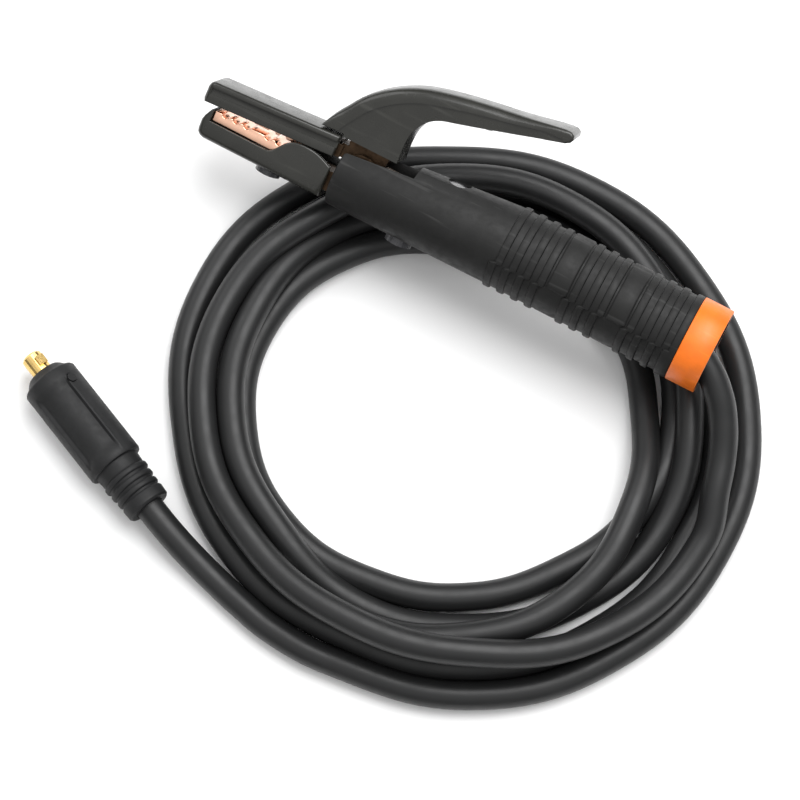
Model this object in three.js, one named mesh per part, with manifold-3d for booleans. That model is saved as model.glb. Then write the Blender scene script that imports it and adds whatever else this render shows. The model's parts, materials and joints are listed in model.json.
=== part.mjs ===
// A stick-welding electrode holder, with its rubber welding cable lying coiled and the cable's bayonet plug.
// Millimetres, +Z up. The origin is the electrode seat, the middle land on the lower copper contact.
// +X runs from the jaws to the tail of the handle. The holder lies on its side across the coil.
//
// The holder is drawn in its own frame: x from the pivot to the tail, y across, z towards the lever,
// with the axis of the handle at z = 0. The plug is drawn in its own frame, x from its pin's tip.

import * as THREE from "three";
import { mergeVertices } from "three/addons/utils/BufferGeometryUtils.js";
import Module from "manifold-3d";

const wasm = await Module();
wasm.setup();

// Clearances
const gap = 0.3; // between pieces that touch
const turnGap = 0.4; // beside a piece that turns
const past = 5; // how far a cut runs past a face

// The handle and its sleeve
const sleeveFront = -9; // from the pivot
const sleeveLength = 172.2;
const sleeveWall = 6.3; // rubber round the cable socket, between the ribs
const frontWall = 2.8;
const frontDrop = 3.8; // how far the front end's centre lies under the axis
const tailWall = 2.6;
const ribHeight = 0.8;
const ribWidth = 3.6;
const ribPitch = 6.4;
const ribGroups = [[93.8, 4], [60.3, 3], [33.8, 4]]; // first rib from the tail, number of ribs
const ribBevel = 0.6;
const padLength = 7;
const bandWidth = 12.9;
const bandWall = 0.7;
const slotEnd = 22; // of the slot that the lever's stem moves in
const pocketGap = 0.9; // beside the lower casting's bar
const pocketDrop = 3.6;

// The jaws
const jawReach = 70; // pivot to the lower jaw's nose
const tipOverhang = 3; // the upper jaw's tip past that nose
const jawWidth = 20;
const jawFloor = -15.6; // under the lower jaw
const jawWall = 2.8; // under the casting's bar
const cheekWall = 1.4; // of plastic beside the contacts
const barWall = 3.7; // of plastic beside the casting's bars
const noseLength = 4;
const lowerBarTop = -7.5;
const contactLength = 40;
const barInset = 1.7; // the bars' ends behind the contacts' front ends
const riserTop = -4; // of the casting between the jaw and the sleeve
const biteHeight = -2.7; // top of the lower contact
const biteGap = 2.1; // between the contacts at rest, less than the thinnest rod
const contactSink = 2.2; // how far the upper contact reaches up into its jaw
const notchRadius = 1.8;
const notchSpots = [-15, -10, -5, 5, 10]; // from the seat
const upperTipFloor = -1.0; // underside of the upper jaw at its tip
const upperSlope = 0.06;
const upperHeight = 9.2;
const upperBarHeight = 5.6;

// The pivot and the casting
const pivotHeight = 2;
const pinRadius = 3;
const hubRadius = 7;
const hubWidth = 9.8;
const cheekThickness = 2.9;
const cheekReach = 8; // before and behind the pivot
const baseTop = -6;
const baseBottom = -11;
const socketStart = 22.3;
const socketEnd = 65;
const socketRadius = 11;
const socketFloor = 32; // where the cable's bore starts

// The lever
const leverReach = 74;
const leverWidth = 18;
const stemFoot = 12; // height of the cover's foot

// Screws
const screwRadius = 2.4;
const smallHeadRadius = 3.8;
const smallHeadHeight = 1.6;
const sleeveScrewSpot = 39;
const sleeveHeadRadius = 4.8;
const sleeveHeadHeight = 2.4;
const barrelScrewSpot = 25.5;
const barrelHeadRadius = 6;
const barrelHeadTop = -16.5; // its face against the rubber
const barrelHeadHeight = 3.2;
const barrelScrewTip = -6;
const jawScrewOffset = 9; // behind the seat
const jawHeadRadius = 5.5;
const jawHeadHeight = 2.6;
const jawScrewTip = 2.9; // under the bite
const upperScrewInset = 5; // before the contact's rear end
const upperScrewTip = 6;
const clampScrewRadius = 4;
const clampScrewSpots = { front: 46, rear: 56 };
const leverScrewSpot = 38;
const leverHeadTop = 42.2;
const leverScrewTip = 45.7;

// The cable
const cableRadius = 6;
const strandRadius = 3.7;
const ferruleWall = 1.2;
const coilRadius = 124; // outside
const coilHole = 75;
const coilHeight = 25;
const coilCentre = [128, -65];

// The plug
const plugRadius = 12.25;
const plugNose = 9.7; // from the pin's tip
const plugShoulder = 14;
const plugBodyEnd = 60.5;
const plugLength = 83;
const plugPinRadius = 4.5;
const plugBrassRadius = 9;
const plugBrassStart = 14.2;
const plugBrassEnd = 46;
const plugBoreStart = 24;
const plugScrewRadius = 3;
const plugScrewSpots = { front: 30, rear: 38 };
const plugKeyRadius = 2;
const plugKeySpot = 20.8;
const plugKeyTip = 6.5; // from the axis
const plugLugTurn = 28; // degrees from the top towards the key
const plugTip = [-44.35, -126];
const plugTurn = -23.3; // degrees from +X

// Worked out from the sizes above
const degree = Math.PI / 180;
const holderRoll = -60 * degree;
const barWidth = jawWidth - 2 * (barWall + gap);
const barBottom = jawFloor + jawWall + gap;
const pocketRadius = Math.hypot(barWidth / 2, barBottom + pocketDrop) + pocketGap;
const sleeveRadius = socketRadius + gap + sleeveWall;
const frontRadius = pocketRadius + frontWall;
const sleeveTail = sleeveFront + sleeveLength;
const coneEnd = sleeveTail - ribGroups[0][0] - ribWidth;
const coneLength = coneEnd - sleeveFront;
const contactWidth = jawWidth - 2 * cheekWall;
const upperReach = jawReach + tipOverhang;
const bandRadius = sleeveRadius + gap + bandWall;
const bandFront = sleeveTail - bandWidth;
const contactFront = -jawReach + noseLength;
const contactRear = contactFront + contactLength;
const seatSpot = contactFront + contactLength / 2;
const jawScrewSpot = seatSpot + jawScrewOffset;
const lowerRear = sleeveFront - 2.6;
const upperRear = sleeveFront - 4;
const cheekInner = hubWidth / 2 + turnGap;
const cheekOuter = cheekInner + cheekThickness;
const ferruleBore = strandRadius + gap;
const ferruleRadius = ferruleBore + ferruleWall;
const cableBore = ferruleRadius + gap;

const roundSides = 24;
const smallSides = 16;

const finishes = {
  plastic: new THREE.MeshStandardMaterial({ color: 0x4a4a46, roughness: 0.42, metalness: 0 }),
  rubber: new THREE.MeshStandardMaterial({ color: 0x2b2b2a, roughness: 0.85, metalness: 0 }),
  cable: new THREE.MeshStandardMaterial({ color: 0x3c3c3e, roughness: 0.7, metalness: 0 }),
  copper: new THREE.MeshStandardMaterial({ color: 0xd8997a, roughness: 0.35, metalness: 1 }),
  brass: new THREE.MeshStandardMaterial({ color: 0xb08a45, roughness: 0.4, metalness: 1 }),
  steel: new THREE.MeshStandardMaterial({ color: 0x8a8a8a, roughness: 0.4, metalness: 1 }),
  blackSteel: new THREE.MeshStandardMaterial({ color: 0x1d1d1d, roughness: 0.3, metalness: 1 }),
  orange: new THREE.MeshStandardMaterial({ color: 0xf07a1c, roughness: 0.6, metalness: 0 }),
};

// ---------- shapes ----------

// A closed geometry as a solid that can be joined and cut.
function solid(geometry) {
  const bare = geometry.index ? geometry.toNonIndexed() : geometry.clone();
  bare.deleteAttribute("normal");
  bare.deleteAttribute("uv");
  const merged = mergeVertices(bare, 1e-4);
  const corners = merged.index.array;
  const triangles = [];
  for (let i = 0; i < corners.length; i += 3) {
    const [a, b, c] = corners.subarray(i, i + 3);
    if (a !== b && b !== c && c !== a) triangles.push(a, b, c);
  }
  return new wasm.Manifold(
    new wasm.Mesh({
      numProp: 3,
      vertProperties: merged.attributes.position.array,
      triVerts: new Uint32Array(triangles),
    }),
  );
}

// A block between low and high values along each axis.
function block([x0, x1], [y0, y1], [z0, z1]) {
  const geometry = new THREE.BoxGeometry(x1 - x0, y1 - y0, z1 - z0);
  return solid(geometry.translate((x0 + x1) / 2, (y0 + y1) / 2, (z0 + z1) / 2));
}

// A side outline of [x, z] points, as thick as width, centred on y = 0.
function plate(outline, width) {
  const shape = new THREE.Shape(outline.map(([x, z]) => new THREE.Vector2(x, z)));
  const geometry = new THREE.ExtrudeGeometry(shape, { depth: width, bevelEnabled: false });
  return solid(geometry.rotateX(Math.PI / 2).translate(0, width / 2, 0));
}

// The point [x, 0, z] on the middle plane.
function mid(x, z) {
  return [x, 0, z];
}

// A round bar between two points.
function rod(radius, start, end, sides = roundSides) {
  const a = new THREE.Vector3(...start);
  const b = new THREE.Vector3(...end);
  const along = b.clone().sub(a);
  const geometry = new THREE.CylinderGeometry(radius, radius, along.length(), sides);
  const turn = new THREE.Quaternion().setFromUnitVectors(
    new THREE.Vector3(0, 1, 0),
    along.normalize(),
  );
  const middle = a.add(b).multiplyScalar(0.5);
  return solid(geometry.applyQuaternion(turn).translate(middle.x, middle.y, middle.z));
}

// A shape turned about the x axis, from [x, radius] points. A hollow one closes on itself.
function turned(outline, hollow, sides = roundSides) {
  return solid(lathe(outline, hollow, sides).rotateZ(-Math.PI / 2));
}

function lathe(outline, hollow, sides) {
  const points = outline.map(([along, radius]) => new THREE.Vector2(radius, along));
  if (THREE.ShapeUtils.area(points) < 0) points.reverse();
  if (hollow) points.push(points[0].clone());
  return new THREE.LatheGeometry(points, sides);
}

// A washer or sleeve along x.
function pipe(inner, outer, x0, x1, sides = roundSides) {
  return turned([[x0, inner], [x1, inner], [x1, outer], [x0, outer]], true, sides);
}

// A round section carried along a curve.
function tube(curve, radius, steps, sides) {
  const corners = Array.from({ length: sides }, (_, i) => {
    const angle = (i / sides) * 2 * Math.PI;
    return new THREE.Vector2(radius * Math.cos(angle), radius * Math.sin(angle));
  });
  const shape = new THREE.Shape(corners);
  return solid(new THREE.ExtrudeGeometry(shape, { steps, extrudePath: curve, bevelEnabled: false }));
}

// An outline with every side moved outwards by a distance.
function grown(outline, distance) {
  const area = THREE.ShapeUtils.area(outline.map(([x, z]) => new THREE.Vector2(x, z)));
  const turn = Math.sign(area);
  const outward = (from, to) => {
    const length = Math.hypot(to[0] - from[0], to[1] - from[1]);
    return [(turn * (to[1] - from[1])) / length, (-turn * (to[0] - from[0])) / length];
  };
  return outline.map((corner, i) => {
    const before = outward(outline.at(i - 1), corner);
    const after = outward(corner, outline[(i + 1) % outline.length]);
    const step = distance / (1 + before[0] * after[0] + before[1] * after[1]);
    return [corner[0] + (before[0] + after[0]) * step, corner[1] + (before[1] + after[1]) * step];
  });
}

// Adds a solid to a group as a named mesh with its finish.
function piece(group, name, body, finish) {
  const cut = body.getMesh();
  const geometry = new THREE.BufferGeometry();
  geometry.setAttribute("position", new THREE.BufferAttribute(cut.vertProperties, 3));
  geometry.setIndex(new THREE.BufferAttribute(cut.triVerts, 1));
  geometry.computeVertexNormals();
  const mesh = new THREE.Mesh(geometry, finishes[finish]);
  mesh.name = name;
  group.add(mesh);
}

// The underside and the top of the upper jaw, which is a little open towards the pivot.
function upperFloor(x) {
  return upperTipFloor + (x + upperReach) * upperSlope;
}

function upperRoof(x) {
  return upperFloor(x) + upperHeight;
}

// The front of the sleeve is a cone whose centre drops towards the jaws.
function sleeveDrop(x) {
  return frontDrop * Math.max(0, 1 - (x - sleeveFront) / coneLength);
}

function sleeveOuter(x) {
  return sleeveRadius - (sleeveRadius - frontRadius) * Math.max(0, 1 - (x - sleeveFront) / coneLength);
}

// ---------- groups ----------

const object = new THREE.Group();
const holder = new THREE.Group();
const plug = new THREE.Group();
object.add(holder, plug);

holder.rotation.x = holderRoll;
const seat = new THREE.Vector3(seatSpot, 0, biteHeight);
holder.position.copy(seat.clone().applyEuler(holder.rotation).negate());

const axisHeight = holder.position.z;
const floor = axisHeight - bandRadius - gap - coilHeight;
plug.position.set(...plugTip, floor + plugRadius);
plug.rotation.z = plugTurn * degree;

// ---------- lower jaw and casting ----------

function lowerArm() {
  const across = [-barWidth / 2, barWidth / 2];
  const bar = block([contactFront + barInset, 0], across, [barBottom, lowerBarTop]);
  const riser = block([contactRear + 3, sleeveFront - 0.5], across, [lowerBarTop - 1, riserTop]);
  const base = block([sleeveFront - 0.4, 18.5], [-7, 7], [baseBottom, baseTop]);
  const neck = block([18, socketStart + 2], [-4.5, 4.5], [-10, -5]);
  const lug = block([18.4, 21.2], [-3, 3], [baseTop - 1, 6]);
  const cheekOutline = [
    [-cheekReach, baseBottom + 2], [cheekReach, baseBottom + 2],
    [cheekReach, pivotHeight + 2], [cheekReach - 2.5, pivotHeight + 5],
    [2, pivotHeight + 6.5], [-2, pivotHeight + 6.5],
    [2.5 - cheekReach, pivotHeight + 5], [-cheekReach, pivotHeight + 2],
  ];
  const between = block([-cheekReach - 1, cheekReach + 1], [-cheekInner, cheekInner], [baseTop, past * 4]);
  const cheeks = plate(cheekOutline, 2 * cheekOuter).subtract(between);
  const socket = turned(
    [[socketStart, 0], [socketStart, socketRadius], [socketEnd, socketRadius],
     [socketEnd, cableBore], [socketFloor, cableBore], [socketFloor, 0]],
    false,
  );
  let casting = bar.add(riser).add(base).add(neck).add(lug).add(cheeks).add(socket);
  const pinBore = rod(
    pinRadius + gap,
    [0, -cheekOuter - past, pivotHeight],
    [0, cheekOuter + past, pivotHeight],
  );
  casting = casting.subtract(pinBore);
  for (const spot of Object.values(clampScrewSpots)) {
    casting = casting.subtract(rod(clampScrewRadius + gap, mid(spot, 0), mid(spot, -socketRadius - past)));
  }
  const under = -socketRadius - past;
  return casting
    .subtract(shankHole(sleeveScrewSpot, 0, socketRadius + past))
    .subtract(shankHole(barrelScrewSpot, barrelScrewTip + gap, under))
    .subtract(jawScrewHole());
}

// Room for a screw's shank, along z.
function shankHole(spot, from, to) {
  return rod(screwRadius + gap, mid(spot, from), mid(spot, to), smallSides);
}

// Room for a small screw's head, along z.
function headHole(spot, from, to) {
  return rod(smallHeadRadius + gap, mid(spot, from), mid(spot, to), smallSides);
}

// The hole for the screw that holds the lower insulator and contact on the casting.
function jawScrewHole() {
  return shankHole(jawScrewSpot, biteHeight - jawScrewTip + gap, jawFloor - past);
}

function lowerJawInsulator() {
  const hump = 1.4;
  const outline = [
    [-jawReach, jawFloor + 3.1], [-jawReach + 2.5, jawFloor], [lowerRear, jawFloor],
    [lowerRear, hump - 3.3], [contactRear + 8, hump - 0.5], [contactRear, hump],
    [contactRear - 5, -1], [contactRear - 8.5, -5], [contactRear - 12.5, lowerBarTop],
    [contactFront - gap, lowerBarTop], [contactFront - gap, biteHeight],
    [contactFront - gap - 1.1, biteHeight], [-jawReach, lowerBarTop - 0.5],
  ];
  const barSlot = block(
    [contactFront + barInset - gap, past],
    [-barWidth / 2 - gap, barWidth / 2 + gap],
    [jawFloor + jawWall, past * 2],
  );
  const contactSlot = block(
    [contactFront - gap, past],
    [-contactWidth / 2, contactWidth / 2],
    [lowerBarTop, past * 2],
  );
  return plate(outline, jawWidth).subtract(barSlot).subtract(contactSlot).subtract(jawScrewHole());
}

function notches(centreHeight) {
  return notchSpots.map((spot) =>
    rod(
      notchRadius,
      [seatSpot + spot, -contactWidth / 2 - past, centreHeight],
      [seatSpot + spot, contactWidth / 2 + past, centreHeight],
      smallSides,
    ),
  );
}

function lowerContact() {
  const body = block(
    [contactFront, contactRear],
    [gap - contactWidth / 2, contactWidth / 2 - gap],
    [lowerBarTop + gap, biteHeight],
  );
  return notches(biteHeight + 0.5).reduce((cut, notch) => cut.subtract(notch), body).subtract(jawScrewHole());
}

// A headed screw along z: its head from outer to seat, its shank from the head to its tip.
function screw(spot, headRadius, outer, seatHeight, tip) {
  const shank = rod(screwRadius, mid(spot, (outer + seatHeight) / 2), mid(spot, tip), smallSides);
  return rod(headRadius, mid(spot, outer), mid(spot, seatHeight)).add(shank);
}

// ---------- upper jaw, stem and lever ----------

const upperBarOutline = [
  [contactFront + barInset, upperFloor(contactFront + barInset) + contactSink],
  [contactRear + gap, upperFloor(contactRear) + contactSink],
  [contactRear + gap, upperFloor(contactRear)],
  [-11, upperFloor(-11)],
  [-11, upperFloor(-11) + upperBarHeight],
  [contactFront + barInset, upperFloor(contactFront + barInset) + upperBarHeight],
];

const leverBarOutline = [
  [-9.5, stemFoot - 2], [-9, 20], [-4.5, 29.5], [3, 37], [13, 41.3], [30, 45.6],
  [leverReach - 22, 50.4], [leverReach - 22, 47.6], [leverReach - 30, 45.3],
  [28, 40.7], [14.5, 37], [8.5, 26], [8.5, stemFoot - 2],
];

const upperScrewSpot = contactRear - upperScrewInset;
const upperHeadTop = biteHeight + biteGap + gap + smallHeadHeight;

function upperScrewHole() {
  return shankHole(upperScrewSpot, -past, upperScrewTip + gap);
}

function leverScrewHole() {
  return shankHole(leverScrewSpot, leverHeadTop - past, leverScrewTip + gap);
}

function upperArm() {
  const bar = plate(upperBarOutline, barWidth);
  const neck = plate([[-12, upperFloor(-12) + 0.4], [-2, 3], [-2, 9], [-12, 8.8]], hubWidth);
  const hub = rod(hubRadius, [0, -hubWidth / 2, pivotHeight], [0, hubWidth / 2, pivotHeight]);
  const foot = plate(
    [[-9.5, stemFoot - 2], [-6.5, pivotHeight], [6.5, pivotHeight], [8.5, stemFoot - 2], [8.5, stemFoot],
     [-9.5, stemFoot]],
    hubWidth,
  );
  const heel = block([4, 16.5], [-hubWidth / 2, hubWidth / 2], [3, 6]);
  const lever = plate(leverBarOutline, hubWidth);
  const pinBore = rod(
    pinRadius + gap,
    [0, -hubWidth, pivotHeight],
    [0, hubWidth, pivotHeight],
  );
  return bar.add(neck).add(hub).add(foot).add(heel).add(lever)
    .subtract(pinBore).subtract(upperScrewHole()).subtract(leverScrewHole());
}

function upperJawInsulator() {
  const tip = -upperReach;
  const outline = [
    [tip + 1.2, upperFloor(tip)], [upperRear, upperFloor(upperRear)],
    [upperRear, upperRoof(upperRear)], [tip + 2.6, upperRoof(tip + 2.6)],
    [tip + 0.8, upperRoof(tip) - 0.9], [tip, upperRoof(tip) - 3], [tip, upperFloor(tip) + 1.4],
  ];
  const mouthOutline = [
    [contactFront, upperFloor(tip) - past], [-11, upperFloor(tip) - past],
    [-11, upperFloor(-11) + upperBarHeight], [contactFront, upperFloor(contactFront) + upperBarHeight],
  ];
  const mouth = plate(grown(mouthOutline, gap), barWidth + 2 * gap);
  return plate(outline, jawWidth).subtract(mouth);
}

function upperContact() {
  const floorHeight = biteHeight + biteGap;
  const outline = [
    [contactFront, floorHeight], [contactRear, floorHeight],
    [contactRear, upperFloor(contactRear) + contactSink - gap],
    [contactFront, upperFloor(contactFront) + contactSink - gap],
  ];
  return notches(floorHeight - 1)
    .reduce((cut, notch) => cut.subtract(notch), plate(outline, barWidth))
    .subtract(headHole(upperScrewSpot, floorHeight - past, upperHeadTop + gap))
    .subtract(upperScrewHole());
}

function leverCover() {
  const outline = [
    [-22.8, upperRoof(-22.8) + gap], [-19.4, 19.6], [-16.1, 24.3], [-12.8, 30],
    [-2.8, 38.3], [3.4, 42.6], [12.1, 45.7], [24.7, 48.6], [37.5, 51],
    [leverReach - 19.1, 53.5], [leverReach - 2, 56.6], [leverReach, 55.6],
    [leverReach + 0.2, 53.4], [leverReach - 2.2, 51.1],
    [leverReach - 13.6, 47.9], [leverReach - 29.7, 42.7], [28, 37.9], [19.5, 35.8],
    [16, 32.5], [12, 25.4], [12.6, stemFoot], [upperRear + 0.6, stemFoot],
    [upperRear + 0.4, upperRoof(upperRear) + gap],
  ];
  const barSlot = plate(grown(leverBarOutline, gap), hubWidth + 2 * gap);
  return plate(outline, leverWidth)
    .subtract(barSlot)
    .subtract(headHole(leverScrewSpot, leverHeadTop - 2 * past, leverHeadTop + gap))
    .subtract(leverScrewHole());
}

// ---------- pivot and spring ----------

function pivotPin() {
  const shaft = rod(pinRadius, [0, -cheekOuter - gap - 0.1, pivotHeight], [0, cheekOuter + 1.2, pivotHeight]);
  const head = rod(
    pinRadius + 1.4,
    [0, -cheekOuter - 1.2, pivotHeight],
    [0, -cheekOuter - gap, pivotHeight],
  );
  return shaft.add(head);
}

function pinClip() {
  const ring = pipe(pinRadius + gap, pinRadius + 1.8, cheekOuter + gap, cheekOuter + 1.1);
  return ring.rotate([0, 0, 90]).translate([0, 0, pivotHeight]);
}

class Helix extends THREE.Curve {
  constructor(radius, start, end, turns) {
    super();
    Object.assign(this, { radius, start, end, turns });
  }
  getPoint(t) {
    const angle = 2 * Math.PI * this.turns * t;
    return new THREE.Vector3(
      this.radius * Math.cos(angle),
      this.radius * Math.sin(angle),
      this.start + (this.end - this.start) * t,
    );
  }
}

function returnSpring() {
  const wire = 0.6;
  const coil = new Helix(3.4, baseTop + gap + wire, 3 - gap - wire, 4);
  return tube(coil, wire, 48, 6).translate([11.8, 0, 0]);
}

// ---------- sleeve ----------

function handleSleeve() {
  const raised = sleeveRadius + ribHeight;
  const outline = [[sleeveFront, frontRadius - 1.2], [sleeveFront + 1.2, sleeveOuter(sleeveFront + 1.2)]];
  outline.push([coneEnd, sleeveRadius]);
  const band = (middle, width) => {
    outline.push([middle - width / 2, sleeveRadius], [middle - width / 2 + ribBevel, raised]);
    outline.push([middle + width / 2 - ribBevel, raised], [middle + width / 2, sleeveRadius]);
  };
  ribGroups.forEach(([fromTail, count], group) => {
    const first = sleeveTail - fromTail;
    for (let i = 0; i < count; i += 1) band(first + i * ribPitch, ribWidth);
    if (group < ribGroups.length - 1) {
      const last = first + (count - 1) * ribPitch;
      band((last + sleeveTail - ribGroups[group + 1][0]) / 2, padLength);
    }
  });
  outline.push([sleeveTail, sleeveRadius]);
  const geometry = lathe([[sleeveFront, 0], ...outline, [sleeveTail, 0]], false, 32).rotateZ(-Math.PI / 2);
  const place = geometry.attributes.position;
  for (let i = 0; i < place.count; i += 1) place.setZ(i, place.getZ(i) - sleeveDrop(place.getX(i)));
  const pocket = rod(pocketRadius, [sleeveFront - past, 0, -pocketDrop], [slotEnd, 0, -pocketDrop]);
  const bore = rod(socketRadius + gap, [slotEnd - 0.3, 0, 0], [socketEnd + 1, 0, 0]);
  const tailBore = rod(sleeveRadius - tailWall, [socketEnd + 0.7, 0, 0], [sleeveTail + past, 0, 0]);
  const slot = block([sleeveFront - past, slotEnd], [-leverWidth / 2 - 0.8, leverWidth / 2 + 0.8], [0, 30]);
  const outside = 2 * sleeveRadius;
  const screwHole = rod(sleeveHeadRadius + gap, mid(sleeveScrewSpot, 0), mid(sleeveScrewSpot, outside));
  const barrelHead = rod(
    barrelHeadRadius + gap,
    mid(barrelScrewSpot, barrelHeadTop + gap),
    mid(barrelScrewSpot, -outside),
  );
  const barrelShank = shankHole(barrelScrewSpot, 0, -outside);
  return solid(geometry)
    .subtract(pocket).subtract(bore).subtract(tailBore).subtract(slot)
    .subtract(screwHole).subtract(barrelHead).subtract(barrelShank);
}

piece(holder, "lower_arm", lowerArm(), "brass");
piece(holder, "lower_jaw_insulator", lowerJawInsulator(), "plastic");
piece(holder, "lower_contact", lowerContact(), "copper");
const jawHeadTop = jawFloor - gap;
piece(
  holder, "lower_jaw_screw",
  screw(jawScrewSpot, jawHeadRadius, jawHeadTop - jawHeadHeight, jawHeadTop, biteHeight - jawScrewTip),
  "steel",
);
piece(holder, "upper_arm", upperArm(), "brass");
piece(holder, "upper_jaw_insulator", upperJawInsulator(), "plastic");
piece(holder, "upper_contact", upperContact(), "copper");
piece(
  holder, "upper_contact_screw",
  screw(upperScrewSpot, smallHeadRadius, upperHeadTop - smallHeadHeight, upperHeadTop, upperScrewTip),
  "steel",
);
piece(holder, "lever_cover", leverCover(), "plastic");
piece(
  holder, "lever_screw",
  screw(leverScrewSpot, smallHeadRadius, leverHeadTop - smallHeadHeight, leverHeadTop, leverScrewTip),
  "steel",
);
piece(holder, "pivot_pin", pivotPin(), "steel");
piece(holder, "pin_clip", pinClip(), "steel");
piece(holder, "return_spring", returnSpring(), "steel");
piece(holder, "handle_sleeve", handleSleeve(), "rubber");
const sleeveHeadSeat = socketRadius + gap;
const sleeveHeadTop = sleeveHeadSeat + sleeveHeadHeight;
piece(
  holder, "sleeve_screw",
  screw(sleeveScrewSpot, sleeveHeadRadius, sleeveHeadTop, sleeveHeadSeat, cableBore + gap),
  "blackSteel",
);
piece(
  holder, "barrel_screw",
  screw(barrelScrewSpot, barrelHeadRadius, barrelHeadTop - barrelHeadHeight, barrelHeadTop, barrelScrewTip),
  "blackSteel",
);
piece(holder, "label_band", pipe(sleeveRadius + gap, bandRadius, bandFront, sleeveTail, 32), "orange");

for (const [place, spot] of Object.entries(clampScrewSpots)) {
  const flush = Math.sqrt(socketRadius ** 2 - clampScrewRadius ** 2);
  const body = rod(clampScrewRadius, [spot, 0, -flush], [spot, 0, -ferruleRadius - gap]);
  piece(holder, `clamp_screw_${place}`, body, "steel");
}
piece(holder, "cable_ferrule", pipe(ferruleBore, ferruleRadius, socketFloor + 0.4, socketEnd - 1), "copper");
piece(
  holder, "cable_strands",
  rod(strandRadius, [socketFloor + 0.8, 0, 0], [socketEnd + 0.5 - gap, 0, 0]), "copper",
);

// ---------- cable ----------

// Points of the cable's middle: x, y and the height of its underside over the floor.
const tailRoute = [
  [-seatSpot + socketEnd + 0.5, holder.position.y, axisHeight - floor - cableRadius],
  [130, 2.4, 37.9], [150, 3, 37.8], [170, 4.6, 37.8], [186, 4.2, 37.5], [198, 1.4, 36.6],
  [209.2, -3.4, 34.6], [218.5, -10.3, 31], [226, -19.5, 26.2], [231.5, -30.5, 21.7], [235.5, -43, 18.6],
];
const leadStart = plugBrassEnd + 1.8;
const alongPlug = (x) => [
  plugTip[0] + x * Math.cos(plugTurn * degree),
  plugTip[1] + x * Math.sin(plugTurn * degree),
  plugRadius - cableRadius,
];
const leadRoute = [
  alongPlug(leadStart), alongPlug((leadStart + plugLength) / 2), alongPlug(plugLength),
  [44, -163.8, 4.9], [57, -168.2, 2], [71, -172.3, 0.3], [85, -175.9, 0], [100, -178.9, 0],
];

function routePoints(route) {
  return route.map(([x, y, height]) => new THREE.Vector3(x, y, floor + cableRadius + height));
}

function cable(route, grow) {
  const middle = new THREE.CatmullRomCurve3(routePoints(route), false, "centripetal");
  return tube(middle, cableRadius + grow, 12, 10);
}

function coil() {
  const bevel = 6;
  const outline = [
    [floor, coilHole], [floor, coilRadius], [floor + coilHeight - bevel, coilRadius],
    [floor + coilHeight, coilRadius - bevel], [floor + coilHeight, coilHole + bevel],
    [floor + coilHeight - bevel, coilHole],
  ];
  const turnedRing = lathe(outline, true, 40).rotateX(Math.PI / 2);
  const ring = solid(turnedRing.translate(coilCentre[0], coilCentre[1], 0));
  return ring
    .subtract(cable(tailRoute, gap)).subtract(endRoom(tailRoute))
    .subtract(cable(leadRoute, gap)).subtract(endRoom(leadRoute));
}

// The room past a route's last point, where the coil stays clear of the cable's end.
function endRoom(route) {
  const [from, to] = routePoints(route).slice(-2);
  const step = to.clone().sub(from).setLength(2 * gap);
  return rod(cableRadius + gap, to.clone().sub(step).toArray(), to.clone().add(step).toArray());
}

piece(object, "cable_tail", cable(tailRoute, 0), "cable");
piece(object, "cable_coil", coil(), "cable");
piece(object, "cable_lead", cable(leadRoute, 0), "cable");

// ---------- plug ----------

const keyAngle = 52 * degree;
const keyAt = (radius) => [plugKeySpot, radius * Math.cos(keyAngle), radius * Math.sin(keyAngle)];

function plugContact() {
  const body = turned(
    [[0, 0], [0, plugPinRadius - 0.9], [0.9, plugPinRadius], [plugBrassStart, plugPinRadius],
     [plugBrassStart, plugBrassRadius], [plugBrassEnd, plugBrassRadius],
     [plugBrassEnd, cableBore], [plugBoreStart, cableBore], [plugBoreStart, 0]],
    false,
  );
  const lug = block([3.2, 7.4], [-1.8, 1.8], [plugPinRadius - 1, plugPinRadius + 1.7])
    .rotate([-plugLugTurn, 0, 0]);
  const keyHole = rod(plugKeyRadius + gap, keyAt(plugKeyTip - gap), keyAt(plugRadius), smallSides);
  let brass = body.add(lug).subtract(keyHole);
  for (const spot of Object.values(plugScrewSpots)) {
    brass = brass.subtract(rod(plugScrewRadius + gap, mid(spot, 0), mid(spot, plugRadius)));
  }
  return brass;
}

function plugSleeve() {
  const outline = [
    [plugNose, plugPinRadius + gap], [plugNose, 7.6], [plugNose + 1, 8.5], [plugShoulder - 1, 10.4],
    [plugShoulder, plugRadius], [plugBodyEnd - 1, plugRadius], [plugBodyEnd, plugRadius - 1],
    [plugBodyEnd, 10.2], [65, 9.9],
  ];
  for (let ring = 0; ring < 4; ring += 1) {
    const x = 65.8 + ring * 3.9;
    const radius = 10.5 - ring * 0.33;
    outline.push([x, radius - 1], [x + 0.3, radius], [x + 2.4, radius], [x + 2.7, radius - 1]);
  }
  const brassRear = plugBrassEnd + gap;
  const brassFront = plugBrassStart - gap;
  outline.push([plugLength, 8.4], [plugLength, cableRadius + gap], [brassRear, cableRadius + gap]);
  outline.push([brassRear, plugBrassRadius + gap], [brassFront, plugBrassRadius + gap]);
  outline.push([brassFront, plugPinRadius + gap]);
  const keyHole = rod(plugKeyRadius + gap, keyAt(plugPinRadius), keyAt(plugRadius + past), smallSides);
  return turned(outline, true).subtract(keyHole);
}

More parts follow.
